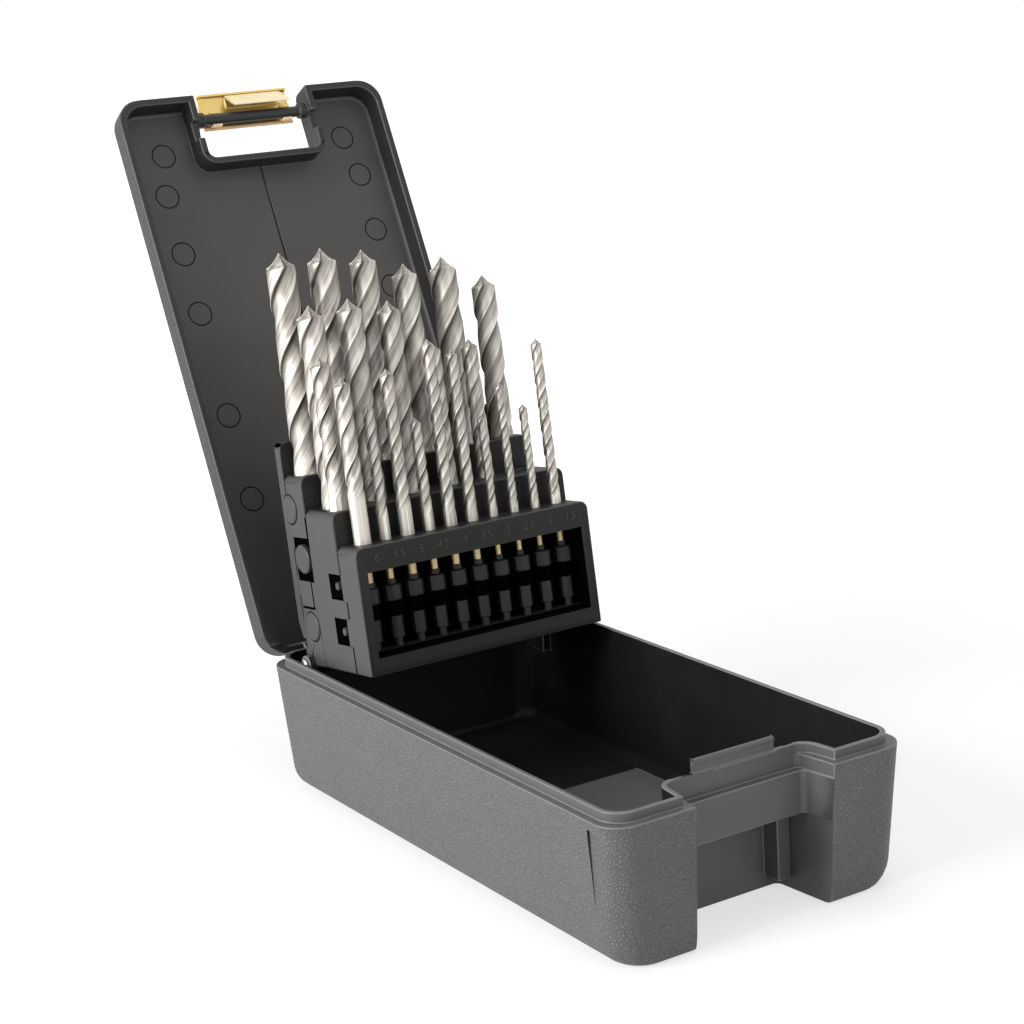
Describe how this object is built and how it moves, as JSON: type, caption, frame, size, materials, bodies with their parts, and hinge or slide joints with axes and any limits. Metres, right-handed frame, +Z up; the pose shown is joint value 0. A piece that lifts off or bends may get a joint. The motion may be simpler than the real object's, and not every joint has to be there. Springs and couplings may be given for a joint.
{
  "type": "drill bit case",
  "caption": "Hinged plastic case for twist drills, with a brass snap latch and a stepped rack that swings up as the lid opens.",
  "frame": {"origin": "centre of the tray's underside, where the case rests on a table", "axes": "+X across the case, +Y from the front recess to the lid hinge, +Z up; the case is open at rest"},
  "size_m": [0.112, 0.3138, 0.2447],
  "materials": {
    "case_plastic": "fine leather grain",
    "lid_plastic": "fine grain outside, satin inside",
    "rack_plastic": "satin",
    "sleeve_plastic": "satin",
    "brass_sheet": "bright plated sheet",
    "drill_steel": "ground, bright",
    "pin_steel": "plain"
  },
  "bodies": {
    "case": {"tray": "case_plastic", "lid_hinge_pins": "pin_steel"},
    "lid": {"lid": "lid_plastic"},
    "latch": {"latch_plate": "brass_sheet", "latch_hook": "brass_sheet"},
    "rack": {"rack_front_frame": "rack_plastic", "rack_sleeves": "sleeve_plastic", "rack_middle_block": "rack_plastic", "rack_rear_block": "rack_plastic", "rack_back_plate": "rack_plastic", "rack_side_plugs": "rack_plastic", "rack_side_pins": "rack_plastic", "rack_pivot_pins": "pin_steel"},
    "drill_front_1": {"drill_front_1": "drill_steel"},
    "drill_front_2": {"drill_front_2": "drill_steel"},
    "drill_front_3": {"drill_front_3": "drill_steel"},
    "drill_front_4": {"drill_front_4": "drill_steel"},
    "drill_front_5": {"drill_front_5": "drill_steel"},
    "drill_front_6": {"drill_front_6": "drill_steel"},
    "drill_front_7": {"drill_front_7": "drill_steel"},
    "drill_front_8": {"drill_front_8": "drill_steel"},
    "drill_front_9": {"drill_front_9": "drill_steel"},
    "drill_front_10": {"drill_front_10": "drill_steel"},
    "drill_middle_1": {"drill_middle_1": "drill_steel"},
    "drill_middle_2": {"drill_middle_2": "drill_steel"},
    "drill_middle_3": {"drill_middle_3": "drill_steel"},
    "drill_middle_4": {"drill_middle_4": "drill_steel"},
    "drill_middle_5": {"drill_middle_5": "drill_steel"},
    "drill_middle_corner": {"drill_middle_corner": "drill_steel"},
    "drill_rear_1": {"drill_rear_1": "drill_steel"},
    "drill_rear_2": {"drill_rear_2": "drill_steel"},
    "drill_rear_3": {"drill_rear_3": "drill_steel"},
    "drill_rear_4": {"drill_rear_4": "drill_steel"},
    "drill_rear_5": {"drill_rear_5": "drill_steel"},
    "drill_rear_6": {"drill_rear_6": "drill_steel"}
  },
  "joints": [
    {"name": "lid_hinge", "type": "hinge", "parent": "case", "child": "lid", "pos_m": [0, 0.1078, 0.048], "axis": [-1, 0, 0], "range_deg": [-114.7, 0]},
    {"name": "rack_pivot", "type": "hinge", "parent": "case", "child": "rack", "pos_m": [0, 0.089, 0.0484], "axis": [-1, 0, 0], "range_deg": [-97, 0]},
    {"name": "latch_pivot", "type": "hinge", "parent": "lid", "child": "latch", "pos_m": [0, 0.19752, 0.23469], "axis": [-1, 0, 0], "range_deg": [-85, 0]},
    {"name": "drill_front_1_pull", "type": "slide", "parent": "rack", "child": "drill_front_1", "axis": [0, 0.1219, 0.9925], "range_m": [0, 0.035]},
    {"name": "drill_front_2_pull", "type": "slide", "parent": "rack", "child": "drill_front_2", "axis": [0, 0.1219, 0.9925], "range_m": [0, 0.035]},
    {"name": "drill_front_3_pull", "type": "slide", "parent": "rack", "child": "drill_front_3", "axis": [0, 0.1219, 0.9925], "range_m": [0, 0.035]},
    {"name": "drill_front_4_pull", "type": "slide", "parent": "rack", "child": "drill_front_4", "axis": [0, 0.1219, 0.9925], "range_m": [0, 0.035]},
    {"name": "drill_front_5_pull", "type": "slide", "parent": "rack", "child": "drill_front_5", "axis": [0, 0.1219, 0.9925], "range_m": [0, 0.035]},
    {"name": "drill_front_6_pull", "type": "slide", "parent": "rack", "child": "drill_front_6", "axis": [0, 0.1219, 0.9925], "range_m": [0, 0.035]},
    {"name": "drill_front_7_pull", "type": "slide", "parent": "rack", "child": "drill_front_7", "axis": [0, 0.1219, 0.9925], "range_m": [0, 0.035]},
    {"name": "drill_front_8_pull", "type": "slide", "parent": "rack", "child": "drill_front_8", "axis": [0, 0.1219, 0.9925], "range_m": [0, 0.035]},
    {"name": "drill_front_9_pull", "type": "slide", "parent": "rack", "child": "drill_front_9", "axis": [0, 0.1219, 0.9925], "range_m": [0, 0.035]},
    {"name": "drill_front_10_pull", "type": "slide", "parent": "rack", "child": "drill_front_10", "axis": [0, 0.1219, 0.9925], "range_m": [0, 0.035]},
    {"name": "drill_middle_1_pull", "type": "slide", "parent": "rack", "child": "drill_middle_1", "axis": [0, 0.1219, 0.9925], "range_m": [0, 0.05]},
    {"name": "drill_middle_2_pull", "type": "slide", "parent": "rack", "child": "drill_middle_2", "axis": [0, 0.1219, 0.9925], "range_m": [0, 0.05]},
    {"name": "drill_middle_3_pull", "type": "slide", "parent": "rack", "child": "drill_middle_3", "axis": [0, 0.1219, 0.9925], "range_m": [0, 0.05]},
    {"name": "drill_middle_4_pull", "type": "slide", "parent": "rack", "child": "drill_middle_4", "axis": [0, 0.1219, 0.9925], "range_m": [0, 0.05]},
    {"name": "drill_middle_5_pull", "type": "slide", "parent": "rack", "child": "drill_middle_5", "axis": [0, 0.1219, 0.9925], "range_m": [0, 0.05]},
    {"name": "drill_middle_corner_pull", "type": "slide", "parent": "rack", "child": "drill_middle_corner", "axis": [0, 0.1219, 0.9925], "range_m": [0, 0.05]},
    {"name": "drill_rear_1_pull", "type": "slide", "parent": "rack", "child": "drill_rear_1", "axis": [0, 0.1219, 0.9925], "range_m": [0, 0.062]},
    {"name": "drill_rear_2_pull", "type": "slide", "parent": "rack", "child": "drill_rear_2", "axis": [0, 0.1219, 0.9925], "range_m": [0, 0.062]},
    {"name": "drill_rear_3_pull", "type": "slide", "parent": "rack", "child": "drill_rear_3", "axis": [0, 0.1219, 0.9925], "range_m": [0, 0.062]},
    {"name": "drill_rear_4_pull", "type": "slide", "parent": "rack", "child": "drill_rear_4", "axis": [0, 0.1219, 0.9925], "range_m": [0, 0.062]},
    {"name": "drill_rear_5_pull", "type": "slide", "parent": "rack", "child": "drill_rear_5", "axis": [0, 0.1219, 0.9925], "range_m": [0, 0.062]},
    {"name": "drill_rear_6_pull", "type": "slide", "parent": "rack", "child": "drill_rear_6", "axis": [0, 0.1219, 0.9925], "range_m": [0, 0.062]}
  ],
  "couplings": [
    {"joint": "rack_pivot", "follows": "lid_hinge", "ratio": 0.84568}
  ]
}
